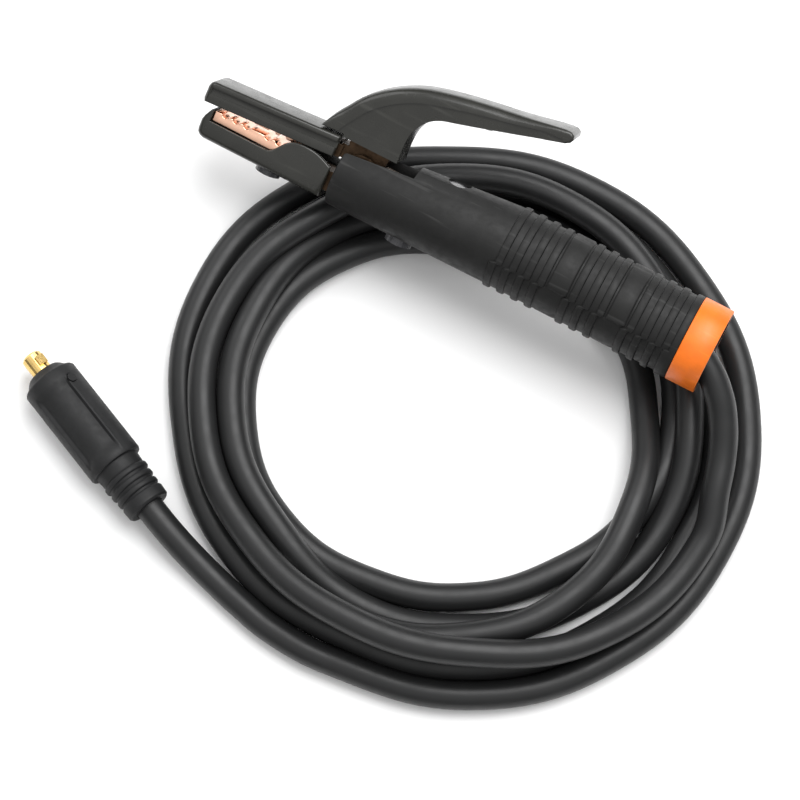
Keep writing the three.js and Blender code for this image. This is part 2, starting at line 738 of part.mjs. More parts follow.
piece(plug, "plug_contact", plugContact(), "brass");
piece(plug, "plug_sleeve", plugSleeve(), "rubber");
const key = rod(plugKeyRadius, keyAt(plugKeyTip), keyAt(plugRadius + 0.4), smallSides);
piece(plug, "plug_key", key, "plastic");
for (const [place, spot] of Object.entries(plugScrewSpots)) {
  const flush = Math.sqrt(plugBrassRadius ** 2 - plugScrewRadius ** 2);
  const body = rod(plugScrewRadius, [spot, 0, ferruleRadius + gap], [spot, 0, flush]);
  piece(plug, `plug_screw_${place}`, body, "steel");
}
const plugFerrule = pipe(ferruleBore, ferruleRadius, plugBoreStart + 0.4, plugBrassEnd - 1);
piece(plug, "plug_ferrule", plugFerrule, "copper");
piece(
  plug, "plug_strands",
  rod(strandRadius, [plugBoreStart + 0.8, 0, 0], [leadStart - gap, 0, 0]), "copper",
);

export default object;
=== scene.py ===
"""Looks of a welding electrode holder with its coiled cable and bayonet plug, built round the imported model.

Lengths inside a piece are millimetres in that piece's own frame: for the holder, x from the pivot to the
tail, y across, z towards the lever; for the plug, x from the tip of its pin. Finished pieces are in metres.
"""

import json
import math

import bmesh
import bpy
from mathutils import Matrix, Vector


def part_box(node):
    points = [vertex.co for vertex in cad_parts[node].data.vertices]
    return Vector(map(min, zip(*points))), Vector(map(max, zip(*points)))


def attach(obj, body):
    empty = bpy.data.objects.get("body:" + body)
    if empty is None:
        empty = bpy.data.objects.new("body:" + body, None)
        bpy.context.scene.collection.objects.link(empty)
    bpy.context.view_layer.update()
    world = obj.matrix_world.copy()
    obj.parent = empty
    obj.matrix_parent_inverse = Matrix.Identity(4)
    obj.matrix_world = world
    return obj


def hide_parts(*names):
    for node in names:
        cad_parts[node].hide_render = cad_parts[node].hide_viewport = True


bl_info = {
    "name": "Welding electrode holder",
    "version": (1, 0, 0),
    "blender": (4, 5, 0),
    "location": "3D View > Sidebar > Holder",
    "description": "Builds an electrode holder with its coiled cable and cable plug",
    "category": "Object",
}

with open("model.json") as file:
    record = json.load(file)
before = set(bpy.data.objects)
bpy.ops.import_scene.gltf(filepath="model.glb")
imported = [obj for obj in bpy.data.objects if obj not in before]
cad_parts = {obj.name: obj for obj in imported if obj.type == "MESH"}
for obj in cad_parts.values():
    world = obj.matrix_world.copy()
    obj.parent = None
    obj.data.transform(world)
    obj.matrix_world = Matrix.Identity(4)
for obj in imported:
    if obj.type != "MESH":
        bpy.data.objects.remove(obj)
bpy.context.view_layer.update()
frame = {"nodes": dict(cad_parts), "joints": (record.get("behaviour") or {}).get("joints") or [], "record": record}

MM = 0.001

# ---------- the frames of the holder and the plug ----------

lever_joint = next(j for j in frame["joints"] if j["name"] == "lever_pivot")
mounts = {m["name"]: m for m in frame["record"]["mounts"]}
PIVOT_HEIGHT = 2  # of the pivot over the handle's axis
NOSE_FACE_SPOT = 9.7  # of the plug's nose from its pin's tip
NOSE_FACE_HEIGHT = 6.2  # of the mount over the plug's axis
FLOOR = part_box("cable_coil")[0].z


def frame_matrix(origin, along, upward):
    """Millimetres in a piece's own frame to metres in the row frame."""
    across = upward.cross(along)
    turn = Matrix((along, across, upward)).transposed().to_4x4()
    return Matrix.Translation(origin) @ turn @ Matrix.Scale(MM, 4)


holder_across = Vector(lever_joint["axis"]).normalized()
holder_up = Vector((1, 0, 0)).cross(holder_across)
pivot = Vector(lever_joint["pos_m"])
HOLDER = frame_matrix(pivot - holder_up * PIVOT_HEIGHT * MM, Vector((1, 0, 0)), holder_up)

plug_along = -Vector(mounts["plug_nose_face"]["axis"]).normalized()
nose_face = Vector(mounts["plug_nose_face"]["pos_m"])
plug_up = Vector((0, 0, 1))
plug_origin = nose_face - plug_along * NOSE_FACE_SPOT * MM - plug_up * NOSE_FACE_HEIGHT * MM
PLUG = frame_matrix(plug_origin, plug_along, plug_up)

# ---------- sizes and colours that a user may change ----------


def length(name, description, millimetres):
    return bpy.props.FloatProperty(
        name=name, description=description, default=millimetres * MM, min=0, unit="LENGTH", precision=4
    )


def colour(name, description, value):
    return bpy.props.FloatVectorProperty(
        name=name, description=description, default=value, size=3, min=0, max=1, subtype="COLOR"
    )


class CableSizes(bpy.types.PropertyGroup):
    """Sizes of the welding cable"""

    diameter: length("Diameter", "Over the rubber jacket", 12)


class SleeveSizes(bpy.types.PropertyGroup):
    """Sizes of the handle's rubber sleeve"""

    radius: length("Radius", "Between the ribs", 17.6)
    rib_height: length("Rib height", "Of the ribs and pads over the rubber", 0.95)
    rib_jog: length("Rib jog", "How far the ribs step forward under the parting line", 2.2)
    edge: length("Edge rounding", "Rounding of the cut edges", 0.45)


class JawSizes(bpy.types.PropertyGroup):
    """Sizes of the jaws' insulators and contacts"""

    width: length("Width", "Across the jaws", 20)
    edge: length("Edge rounding", "Rounding of the insulators' edges", 0.7)
    notch_radius: length("Notch radius", "Of the notches that hold the rod", 1.8)


class LeverSizes(bpy.types.PropertyGroup):
    """Sizes of the lever's cover"""

    width: length("Width", "Across the lever", 18)
    crown: length("Crown rounding", "Rounding of the cover's top edges", 4.2)
    rim_step: length("Rim step", "How far the rim stands proud of the cheeks", 0.6)


class PlugSizes(bpy.types.PropertyGroup):
    """Sizes of the cable plug"""

    radius: length("Radius", "Of the plug's body", 12.25)
    panel_depth: length("Panel depth", "How far the grip panels are sunk", 1.4)
    pin_radius: length("Pin radius", "Of the brass pin", 4.5)


class Finishes(bpy.types.PropertyGroup):
    """Colours of the finishes"""

    plastic: colour("Jaw plastic", "Insulators and lever cover", (0.018, 0.018, 0.0155))
    sleeve: colour("Sleeve rubber", "Handle sleeve", (0.010, 0.010, 0.0098))
    plug: colour("Plug rubber", "Plug body", (0.011, 0.0112, 0.0116))
    cable: colour("Cable rubber", "Cable jacket", (0.012, 0.0122, 0.0125))
    copper: colour("Copper", "Contacts and strands", (0.95, 0.58, 0.42))
    brass: colour("Brass", "Plug pin", (0.86, 0.60, 0.22))
    cast_brass: colour("Cast brass", "Arms of the holder", (0.07, 0.045, 0.028))
    steel: colour("Steel", "Screws, pin and spring", (0.45, 0.45, 0.46))
    black_steel: colour("Black steel", "Blackened screws", (0.03, 0.03, 0.033))
    band: colour("Band", "Orange band", (0.84, 0.17, 0.008))
    floor: colour("Floor", "Pale floor", (0.90, 0.90, 0.90))


SETTINGS = {
    "holder_cable": CableSizes,
    "holder_sleeve": SleeveSizes,
    "holder_jaws": JawSizes,
    "holder_lever": LeverSizes,
    "holder_plug": PlugSizes,
    "holder_finishes": Finishes,
}


def in_mm(value):
    return value / MM


# ---------- shared shader effects ----------


def node(tree, kind, spot, **settings):
    made = tree.nodes.new(kind)
    made.location = spot
    for name, value in settings.items():
        setattr(made, name, value)
    return made


def new_group(name, inputs, outputs):
    """An empty node group with float or vector inputs, given with their defaults, and float outputs."""
    tree = bpy.data.node_groups.new(name, "ShaderNodeTree")
    for label, value in inputs.items():
        kind = "NodeSocketVector" if value is None else "NodeSocketFloat"
        socket = tree.interface.new_socket(label, in_out="INPUT", socket_type=kind)
        if value is not None:
            socket.default_value = value
    for label in outputs:
        tree.interface.new_socket(label, in_out="OUTPUT", socket_type="NodeSocketFloat")
    return tree, node(tree, "NodeGroupInput", (-600, 0)), node(tree, "NodeGroupOutput", (600, 0))


def grain_group():
    """Fine moulded or drawn grain: a height, with a coarser unevenness under it."""
    tree, source, result = new_group("Grain", {"Vector": None, "Scale": 900.0, "Coarse": 0.35}, ["Height"])
    fine = node(tree, "ShaderNodeTexNoise", (-300, 150))
    fine.inputs["Detail"].default_value = 3
    coarse_scale = node(tree, "ShaderNodeMath", (-450, -150), operation="MULTIPLY")
    coarse_scale.inputs[1].default_value = 0.12
    coarse = node(tree, "ShaderNodeTexNoise", (-300, -150))
    blend = node(tree, "ShaderNodeMix", (100, 0), data_type="FLOAT")
    tree.links.new(source.outputs["Vector"], fine.inputs["Vector"])
    tree.links.new(source.outputs["Vector"], coarse.inputs["Vector"])
    tree.links.new(source.outputs["Scale"], fine.inputs["Scale"])
    tree.links.new(source.outputs["Scale"], coarse_scale.inputs[0])
    tree.links.new(coarse_scale.outputs[0], coarse.inputs["Scale"])
    tree.links.new(source.outputs["Coarse"], blend.inputs["Factor"])
    tree.links.new(fine.outputs["Fac"], blend.inputs["A"])
    tree.links.new(coarse.outputs["Fac"], blend.inputs["B"])
    tree.links.new(blend.outputs["Result"], result.inputs["Height"])
    return tree


def mottle_group():
    """Broad uneven patches, from handling and dust, as a mask from 0 to 1."""
    inputs = {"Vector": None, "Scale": 60.0, "From": 0.4, "To": 0.7}
    tree, source, result = new_group("Mottle", inputs, ["Mask"])
    noise = node(tree, "ShaderNodeTexNoise", (-300, 0))
    noise.inputs["Detail"].default_value = 5
    noise.inputs["Roughness"].default_value = 0.62
    spread = node(tree, "ShaderNodeMapRange", (200, 0), interpolation_type="SMOOTHSTEP")
    tree.links.new(source.outputs["Vector"], noise.inputs["Vector"])
    tree.links.new(source.outputs["Scale"], noise.inputs["Scale"])
    tree.links.new(noise.outputs["Fac"], spread.inputs["Value"])
    tree.links.new(source.outputs["From"], spread.inputs["From Min"])
    tree.links.new(source.outputs["To"], spread.inputs["From Max"])
    tree.links.new(spread.outputs["Result"], result.inputs["Mask"])
    return tree


def scratch_group():
    """Fine scratches and rubbed lines along the handle, as a mask from 0 to 1."""
    tree, source, result = new_group("Scratches", {"Vector": None, "Scale": 260.0}, ["Mask"])
    stretch = node(tree, "ShaderNodeMapping", (-420, 0))
    stretch.inputs["Scale"].default_value = (0.06, 1.0, 1.0)
    noise = node(tree, "ShaderNodeTexNoise", (-200, 0))
    noise.inputs["Detail"].default_value = 2
    spread = node(tree, "ShaderNodeMapRange", (200, 0))
    spread.inputs["From Min"].default_value = 0.62
    spread.inputs["From Max"].default_value = 0.72
    tree.links.new(source.outputs["Vector"], stretch.inputs["Vector"])
    tree.links.new(stretch.outputs["Vector"], noise.inputs["Vector"])
    tree.links.new(source.outputs["Scale"], noise.inputs["Scale"])
    tree.links.new(noise.outputs["Fac"], spread.inputs["Value"])
    tree.links.new(spread.outputs["Result"], result.inputs["Mask"])
    return tree


GROUPS = {"Grain": grain_group, "Mottle": mottle_group, "Scratches": scratch_group}


def effect(tree, name, coordinates, spot, **values):
    """A shared effect, placed in a material with its own values."""
    made = node(tree, "ShaderNodeGroup", spot)
    made.node_tree = bpy.data.node_groups.get(name) or GROUPS[name]()
    tree.links.new(coordinates, made.inputs["Vector"])
    for label, value in values.items():
        made.inputs[label].default_value = value
    return made


# ---------- materials ----------


def finish(name, base, worn, roughness, grain, mottle, metallic=0.0, coat=0.0, scratches=None, specular=0.5):
    """A material with two shades of a colour in patches, uneven gloss and a fine grain.

    roughness is its lowest and highest value, grain is (scale, depth in metres), and mottle is a scale.
    """
    material = bpy.data.materials.new(name)
    material.use_nodes = True
    tree = material.node_tree
    shader = tree.nodes["Principled BSDF"]
    shader.inputs["Metallic"].default_value = metallic
    shader.inputs["Coat Weight"].default_value = coat
    shader.inputs["Coat Roughness"].default_value = 0.25
    shader.inputs["Specular IOR Level"].default_value = specular
    place = node(tree, "ShaderNodeTexCoord", (-1100, 0)).outputs["Object"]
    patches = effect(tree, "Mottle", place, (-850, 200), Scale=mottle)
    shades = node(tree, "ShaderNodeMix", (-450, 250), data_type="RGBA")
    shades.inputs["A"].default_value = (*base, 1)
    shades.inputs["B"].default_value = (*worn, 1)
    tree.links.new(patches.outputs["Mask"], shades.inputs["Factor"])
    gloss_patches = effect(tree, "Mottle", place, (-850, -50), Scale=mottle * 3, From=0.3, To=0.75)
    gloss = node(tree, "ShaderNodeMapRange", (-450, -50))
    gloss.inputs["To Min"].default_value = roughness[0]
    gloss.inputs["To Max"].default_value = roughness[1]
    tree.links.new(gloss_patches.outputs["Mask"], gloss.inputs["Value"])
    tree.links.new(gloss.outputs["Result"], shader.inputs["Roughness"])
    colour_out = shades.outputs["Result"]
    if scratches:
        lines = effect(tree, "Scratches", place, (-850, 450), Scale=scratches[0])
        faint = node(tree, "ShaderNodeMath", (-650, 450), operation="MULTIPLY")
        faint.inputs[1].default_value = scratches[1]
        rubbed = node(tree, "ShaderNodeMix", (-250, 350), data_type="RGBA")
        rubbed.inputs["B"].default_value = (*[min(1, 2.6 * part + 0.02) for part in worn], 1)
        tree.links.new(lines.outputs["Mask"], faint.inputs[0])
        tree.links.new(faint.outputs[0], rubbed.inputs["Factor"])
        tree.links.new(colour_out, rubbed.inputs["A"])
        colour_out = rubbed.outputs["Result"]
    tree.links.new(colour_out, shader.inputs["Base Color"])
    surface = effect(tree, "Grain", place, (-850, -350), Scale=grain[0])
    bump = node(tree, "ShaderNodeBump", (-300, -350))
    bump.inputs["Strength"].default_value = 0.8
    bump.inputs["Distance"].default_value = grain[1]
    tree.links.new(surface.outputs["Height"], bump.inputs["Height"])
    tree.links.new(bump.outputs["Normal"], shader.inputs["Normal"])
    return material


def shade(value, factor):
    return tuple(min(1, part * factor) for part in value)


def make_finishes(colours):
    plastic, sleeve, plug, cable = colours.plastic, colours.sleeve, colours.plug, colours.cable
    finish("Jaw plastic", plastic, shade(plastic, 1.18), (0.2, 0.32), (2600, 0.00002), 70,
           scratches=(300, 0.25), specular=0.45)
    finish("Sleeve rubber", sleeve, shade(sleeve, 1.35), (0.48, 0.66), (2200, 0.00006), 90,
           scratches=(420, 0.35), specular=0.25)
    finish("Plug rubber", plug, shade(plug, 1.3), (0.52, 0.66), (2400, 0.00005), 110, specular=0.3)
    finish("Cable rubber", cable, shade(cable, 1.12), (0.38, 0.48), (1800, 0.00003), 45, specular=0.36)
    finish("Copper", colours.copper, shade(colours.copper, 0.9), (0.14, 0.24), (1500, 0.00003), 120,
           metallic=1.0)
    finish("Plug brass", colours.brass, shade(colours.brass, 0.8), (0.2, 0.32), (3000, 0.00002), 300,
           metallic=1.0, scratches=(1400, 0.15))
    finish("Cast brass", colours.cast_brass, shade(colours.cast_brass, 0.55), (0.35, 0.6),
           (900, 0.00015), 240, metallic=1.0)
    finish("Steel", colours.steel, shade(colours.steel, 0.75), (0.3, 0.45), (2600, 0.00002), 280,
           metallic=1.0)
    finish("Black steel", colours.black_steel, shade(colours.black_steel, 1.6), (0.22, 0.4),
           (2400, 0.00003), 200, metallic=0.0, coat=0.2)
    finish("Orange band", colours.band, shade(colours.band, 0.86), (0.38, 0.52), (1600, 0.00005), 120,
           scratches=(500, 0.12))


NODE_FINISHES = {
    "Cast brass": ("lower_arm", "upper_arm"),
    "Copper": ("lower_contact", "upper_contact", "cable_ferrule", "cable_strands", "plug_ferrule",
               "plug_strands"),
    "Plug brass": ("plug_contact",),
    "Steel": ("upper_contact_screw", "lever_screw", "pivot_pin", "pin_clip", "return_spring",
              "clamp_screw_front", "clamp_screw_rear", "plug_screw_front", "plug_screw_rear"),
    "Black steel": ("sleeve_screw", "barrel_screw", "lower_jaw_screw"),
    "Plug rubber": ("plug_key", "plug_sleeve"),
    "Sleeve rubber": ("handle_sleeve",),
    "Jaw plastic": ("lower_jaw_insulator", "upper_jaw_insulator", "lever_cover"),
    "Cable rubber": ("cable_tail", "cable_coil", "cable_lead"),
    "Orange band": ("label_band",),
}

# ---------- building in mesh code ----------


def profile_spun(profile, closed, steps=96):
    """A shape spun about the x axis from [x, radius] points."""
    bm = bmesh.new()
    points = [bm.verts.new((x, 0, radius)) for x, radius in profile]
    pairs = list(zip(points, points[1:]))
    if closed:
        pairs.append((points[-1], points[0]))
    edges = [bm.edges.new(pair) for pair in pairs]
    bmesh.ops.spin(
        bm, geom=points + edges, cent=(0, 0, 0), axis=(1, 0, 0), angle=2 * math.pi, steps=steps,
        use_merge=True, use_duplicate=False,
    )
    bmesh.ops.remove_doubles(bm, verts=bm.verts, dist=0.0005)
    bmesh.ops.recalc_face_normals(bm, faces=bm.faces)
    return bm


def side_plate(outline, width):
    """A side outline of [x, z] points, as thick as width, centred on y = 0."""
    bm = bmesh.new()
    side = bm.faces.new([bm.verts.new((x, -width / 2, z)) for x, z in outline])
    grown = bmesh.ops.extrude_face_region(bm, geom=[side])["geom"]
    moved = [part for part in grown if isinstance(part, bmesh.types.BMVert)]
    bmesh.ops.translate(bm, verts=moved, vec=(0, width, 0))
    bmesh.ops.recalc_face_normals(bm, faces=bm.faces)
    return bm


def box_shape(x_range, y_range, z_range):
    bm = bmesh.new()
    bmesh.ops.create_cube(bm, size=1)
    spans = [high - low for low, high in (x_range, y_range, z_range)]
    middle = [(low + high) / 2 for low, high in (x_range, y_range, z_range)]
    bmesh.ops.scale(bm, verts=bm.verts, vec=spans)
    bmesh.ops.translate(bm, verts=bm.verts, vec=middle)
    return bm


def bar_shape(radius, start, end, segments=48):
    """A round bar between two points."""
    bm = bmesh.new()
    start, end = Vector(start), Vector(end)
    along = end - start
    turn = along.to_track_quat("Z", "Y").to_matrix().to_4x4()
    bmesh.ops.create_cone(
        bm, cap_ends=True, segments=segments, radius1=radius, radius2=radius, depth=along.length,
        matrix=Matrix.Translation((start + end) / 2) @ turn,
    )
    return bm


def as_object(name, bm, place):
    """The finished bmesh as an object at the origin, with its place in its mesh."""
    bmesh.ops.transform(bm, matrix=place, verts=bm.verts)
    mesh = bpy.data.meshes.new(name)
    bm.to_mesh(mesh)
    bm.free()
    made = bpy.data.objects.new(name, mesh)
    bpy.context.scene.collection.objects.link(made)
    return made


def settle(made):
    """Puts what the modifiers make into the mesh."""
    evaluated = made.evaluated_get(bpy.context.evaluated_depsgraph_get())
    mesh = bpy.data.meshes.new_from_object(evaluated)
    made.modifiers.clear()
    old, made.data = made.data, mesh
    bpy.data.meshes.remove(old)


def carve(made, cutters, place):
    """Cuts bmesh shapes out of an object, one after the other."""
    for bm in cutters:
        tool = as_object("cutter", bm, place)
        cut = made.modifiers.new("Cut", "BOOLEAN")
        cut.operation = "DIFFERENCE"
        cut.solver = "EXACT"
        cut.object = tool
        settle(made)
        mesh = tool.data
        bpy.data.objects.remove(tool)
        bpy.data.meshes.remove(mesh)
    if not made.data.polygons:
        raise RuntimeError(f"nothing is left of {made.name} after its cuts")


def soften(made, radius, segments=2, angle=35):
    """Rounds the sharp edges of an object and shades it smooth."""
    if radius:
        rounding = made.modifiers.new("Rounding", "BEVEL")
        rounding.width = radius * MM
        rounding.segments = segments
        rounding.limit_method = "ANGLE"
        rounding.angle_limit = math.radians(angle)
        rounding.harden_normals = False
        settle(made)
    made.data.polygons.foreach_set("use_smooth", [True] * len(made.data.polygons))
    made.data.set_sharp_from_angle(angle=math.radians(angle))


def hand_over(made, material, slot, body, *nodes):
    """Gives a finished piece its material and its body, and hides the nodes that it stands for. The slot is not
    used.
    """
    made.data.materials.clear()
    made.data.materials.append(bpy.data.materials[material])
    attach(made, body)
    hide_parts(*nodes)


def smooth_step(low, high, value):
    share = min(1, max(0, (value - low) / (high - low)))
    return share * share * (3 - 2 * share)


# ---------- cable ----------

COIL_CENTRE = (128, -65)
COIL_STEP = 30  # degrees from one point of the coil to the next
COIL_START = 270
# Each turn of the coil: distance from its centre and height of the cable's middle, every 30 degrees.
COIL_TURNS = (
    ((114, 6), (115, 6), (117, 6), (120, 6), (121, 6), (119, 6),
     (118, 6), (117, 6), (123, 6), (123, 6), (115, 6), (109, 6)),
    ((102, 6), (103, 6), (105, 6), (107, 6), (107, 6), (106, 6),
     (106, 6), (105, 6), (110, 6), (105, 6), (103, 6), (99, 8)),
    ((96, 15), (92, 17), (88, 18), (81, 17), (78, 7), (80, 6),
     (77, 6), (80, 6), (88, 6), (93, 6), (91, 6), (85, 6)),
    ((77, 6), (74, 6), (75, 6), (83, 6), (91, 6), (94, 6),
     (94, 6), (93, 6), (99, 8), (98, 17), (95, 17), (89, 16)),
    ((88, 6), (87, 6), (90, 6), (95, 8), (96, 17), (100, 17),
     (104, 18), (105, 18), (106, 18), (110, 18), (107, 18), (101, 22)),
    ((98, 27), (100, 26), (108, 19), (113, 18)),
)
# x, y and height of the cable's middle over the floor, from the coil up to the sleeve and into it
TAIL_ROUTE = (
    (235.5, -43, 24.6), (231.5, -30.5, 27.7), (226, -19.5, 32.2), (218.5, -10.3, 37),
    (209.2, -3.4, 40.6), (198, 1.4, 42.6), (186, 4.2, 43.5),
)
# the same from inside the plug's boot to the coil
LEAD_ROUTE = (
    (44, -163.8, 10.9), (57, -168.2, 8), (71, -172.3, 6.3), (85, -175.9, 6), (100, -178.9, 6),
)
LEAD_START = 60  # in the plug, from its pin's tip
LEAD_STEPS = 3


def floor_point(x, y, height):
    return Vector((x * MM, y * MM, FLOOR + height * MM))


def cable_points():
    """From inside the sleeve's tail, round the coil and into the plug."""
    points = [floor_point(*spot) for spot in reversed(TAIL_ROUTE)]
    coil = [spot for turn in COIL_TURNS for spot in turn]
    for i in reversed(range(len(coil))):
        radius, height = coil[i]
        angle = math.radians(COIL_START + COIL_STEP * i)
        x = COIL_CENTRE[0] + radius * math.cos(angle)
        y = COIL_CENTRE[1] + radius * math.sin(angle)
        points.append(floor_point(x, y, height))
    points += [floor_point(*spot) for spot in reversed(LEAD_ROUTE)]
    boot_end = 83
    for i in range(LEAD_STEPS):
        along = boot_end + (LEAD_START - boot_end) * i / (LEAD_STEPS - 1)
        spot = PLUG @ Vector((along, 0, 0))
        points.append(spot)
    return points


def build_cable(sizes):
    curve = bpy.data.curves.new("cable", "CURVE")
    curve.dimensions = "3D"
    curve.resolution_u = 12
    curve.bevel_depth = sizes.diameter / 2
    curve.bevel_resolution = 7
    curve.use_fill_caps = True
    points = cable_points()
    spline = curve.splines.new("BEZIER")
    spline.bezier_points.add(len(points) - 1)
    for knot, spot in zip(spline.bezier_points, points):
        knot.co = spot
        knot.handle_left_type = "AUTO"
        knot.handle_right_type = "AUTO"
    made = bpy.data.objects.new("cable", curve)
    bpy.context.scene.collection.objects.link(made)
    hand_over(made, "Cable rubber", "cable_rubber", "handle", "cable_tail", "cable_coil", "cable_lead")
    return made


PLUG_PIECES = ("plug_contact", "plug_key", "plug_screw_front", "plug_screw_rear", "plug_ferrule",
               "plug_strands")

# ---------- handle sleeve and label band ----------

SLEEVE_FRONT = -9  # all from the pivot
SLEEVE_TAIL = 163.2
CONE_END = 65.8
FRONT_DROP = 3.8  # how far the front end's centre lies under the axis
FRONT_RADIUS = 14.4
RIB_WIDTH = 3.6
RIB_PITCH = 6.4
RIB_GROUPS = ((69.4, 4), (102.9, 3), (129.4, 4))  # the first rib's middle, and the number of ribs
PARTING_ANGLE = -12  # degrees up from the side, where the ribs step
BAND_FRONT = 150.3
POCKET_ROOM = 11.63  # radii of the holes in the sleeve
SOCKET_ROOM = 11.3
TAIL_ROOM = 15
SLEEVE_HEAD_ROOM = 5.1
BARREL_HEAD_ROOM = 6.3


def sleeve_profile(radius, rib):
    """[x, radius] points of the sleeve's outside, and the x ranges of the pads between the ribs."""
    points = [(SLEEVE_FRONT, 0), (SLEEVE_FRONT, FRONT_RADIUS - 1.2), (SLEEVE_FRONT + 0.4, FRONT_RADIUS - 0.4),
              (SLEEVE_FRONT + 1.4, FRONT_RADIUS), (CONE_END, radius)]
    pads = []
    for group, (first, count) in enumerate(RIB_GROUPS):
        for i in range(count):
            front, rear = first + i * RIB_PITCH - RIB_WIDTH / 2, first + i * RIB_PITCH + RIB_WIDTH / 2
            points += [(front, radius), (front + 0.35, radius + rib * 0.75), (front + 0.9, radius + rib),
                       (rear - 0.9, radius + rib), (rear - 0.35, radius + rib * 0.75), (rear, radius)]
        if group + 1 < len(RIB_GROUPS):
            start = points[-1][0] + 0.7
            end = RIB_GROUPS[group + 1][0] - RIB_WIDTH / 2 - 0.7
            pads.append((start, end))
            points += [(start, radius), (start + 0.3, radius + rib * 0.5), (start + 0.8, radius + rib * 0.8),
                       (end - 0.8, radius + rib * 0.8), (end - 0.3, radius + rib * 0.5), (end, radius)]
    points += [(SLEEVE_TAIL - 0.6, radius), (SLEEVE_TAIL, radius - 0.6), (SLEEVE_TAIL, 0)]
    return points, pads


def build_sleeve(sizes):
    radius, rib, jog = in_mm(sizes.radius), in_mm(sizes.rib_height), in_mm(sizes.rib_jog)
    profile, pads = sleeve_profile(radius, rib)
    bm = profile_spun(profile, False, 180)
    ribs_start, ribs_end = RIB_GROUPS[0][0] - RIB_WIDTH, BAND_FRONT - 1
    for vert in bm.verts:
        x, y, z = vert.co
        reach = math.hypot(y, z)
        if ribs_start < x < ribs_end:
            angle = math.degrees(math.atan2(z, abs(y)))
            under = 1 - smooth_step(PARTING_ANGLE - 2.5, PARTING_ANGLE, angle)
            vert.co.x = x - jog * under
            if any(start < x < end for start, end in pads):
                ledge = 1 - smooth_step(PARTING_ANGLE, PARTING_ANGLE + 2.5, angle)
                share = 1 - (reach - radius) * 0.8 * ledge / reach
                vert.co.y, vert.co.z = y * share, z * share
        vert.co.z -= FRONT_DROP * max(0, 1 - (x - SLEEVE_FRONT) / (CONE_END - SLEEVE_FRONT))
    made = as_object("sleeve", bm, HOLDER)
    slot_end, slot_half, pocket_height, outside, past = 22, 9.8, -3.6, 30, 5
    sleeve_screw, barrel_screw, barrel_seat = 39, 25.5, -16.2
    front = SLEEVE_FRONT - past
    carve(made, [
        bar_shape(POCKET_ROOM, (front, 0, pocket_height), (slot_end, 0, pocket_height), 96),
        bar_shape(SOCKET_ROOM, (slot_end - 1, 0, 0), (80, 0, 0), 96),
        bar_shape(TAIL_ROOM, (65.7, 0, 0), (SLEEVE_TAIL + past, 0, 0), 96),
        box_shape((front, slot_end), (-slot_half, slot_half), (0, outside)),
        bar_shape(SLEEVE_HEAD_ROOM, (sleeve_screw, 0, 0), (sleeve_screw, 0, outside)),
        bar_shape(BARREL_HEAD_ROOM, (barrel_screw, 0, barrel_seat), (barrel_screw, 0, -outside)),
        bar_shape(SHANK_ROOM, (barrel_screw, 0, -8), (barrel_screw, 0, -17)),
    ], HOLDER)
    soften(made, in_mm(sizes.edge), segments=2, angle=75)
    made.data.set_sharp_from_angle(angle=math.radians(40))
    hand_over(made, "Sleeve rubber", "sleeve_rubber", "handle", "handle_sleeve")


def build_band():
    inner, outer, edge = 17.9, 18.6, 0.25
    profile = [
        (BAND_FRONT, inner), (BAND_FRONT, outer - edge), (BAND_FRONT + edge, outer),
        (SLEEVE_TAIL - edge, outer), (SLEEVE_TAIL, outer - edge), (SLEEVE_TAIL, inner),
    ]
    made = as_object("orange_band_ring", profile_spun(profile, True, 144), HOLDER)
    soften(made, 0, angle=50)
    hand_over(made, "Orange band", "orange_band", "handle", "label_band")


# ---------- lever cover and jaws ----------

LEVER_TOP = (
    (-22.8, 12.6), (-19.4, 19.6), (-16.1, 24.5), (-12.4, 29.8), (-8, 34.3), (-2.8, 38.3), (3.6, 42.1),
    (12.1, 45.6), (24.7, 48.7), (37.5, 51), (46, 52.3), (54.9, 53.7), (64, 55.4), (70, 56.4),
)
LEVER_TIP = ((72.4, 56.4), (74, 55.4), (74.4, 53.8), (73.6, 52.2))
LEVER_UNDER = (
    (71.8, 51.1), (66, 49.4), (60.4, 47.8), (52, 45.2), (44.3, 42.9), (36, 40.4), (28, 38.1), (22.2, 36.4),
    (18, 34), (14.8, 30.2), (12.7, 25.4), (12.2, 19), (12.6, 12),
)
LEVER_HEEL = ((-12.4, 12), (-12.6, 13.2))
LEVER_BAR = (
    (-9.5, 10), (-9, 20), (-4.5, 29.5), (3, 37), (13, 41.3), (30, 45.6), (52, 50.4), (52, 47.6),
    (44, 45.3), (28, 40.7), (14.5, 37), (8.5, 26), (8.5, 10),
)
LEVER_BAR_WIDTH = 9.8
LEVER_SCREW = 38
LEVER_HEAD_TOP = 42.2
LEVER_SCREW_TIP = 45.7
GAP = 0.3  # between pieces that touch
SHANK_ROOM = 2.7  # radius of a hole for a screw's shank
SMALL_HEAD_ROOM = 4.1  # radius of a hole for a small screw's head
RIM_END = 62  # from here to the tip the cheek's upper line is straight
SINK_PLATE = 4  # thickness of the plates that sink the cheeks and the grooves
RIM_WIDTHS = ((-24, 6.6), (-5, 6.2), (20, 5.6), (45, 4.2), (75, 2.2))  # x, width of the rim at the top


def smooth_run(points, steps=3):
    """A smooth open line through points."""
    made = []
    for i in range(len(points) - 1):
        start, end = Vector(points[i]), Vector(points[i + 1])
        before = Vector(points[i - 1]) if i else start * 2 - end
        after = Vector(points[i + 2]) if i + 2 < len(points) else end * 2 - start
        for k in range(steps):
            t = k / steps
            lean = 2 * before - 5 * start + 4 * end - after
            bend = -before + 3 * start - 3 * end + after
            made.append((start * 2 + (end - before) * t + lean * t * t + bend * t ** 3) / 2)
    return [*made, Vector(points[-1])]


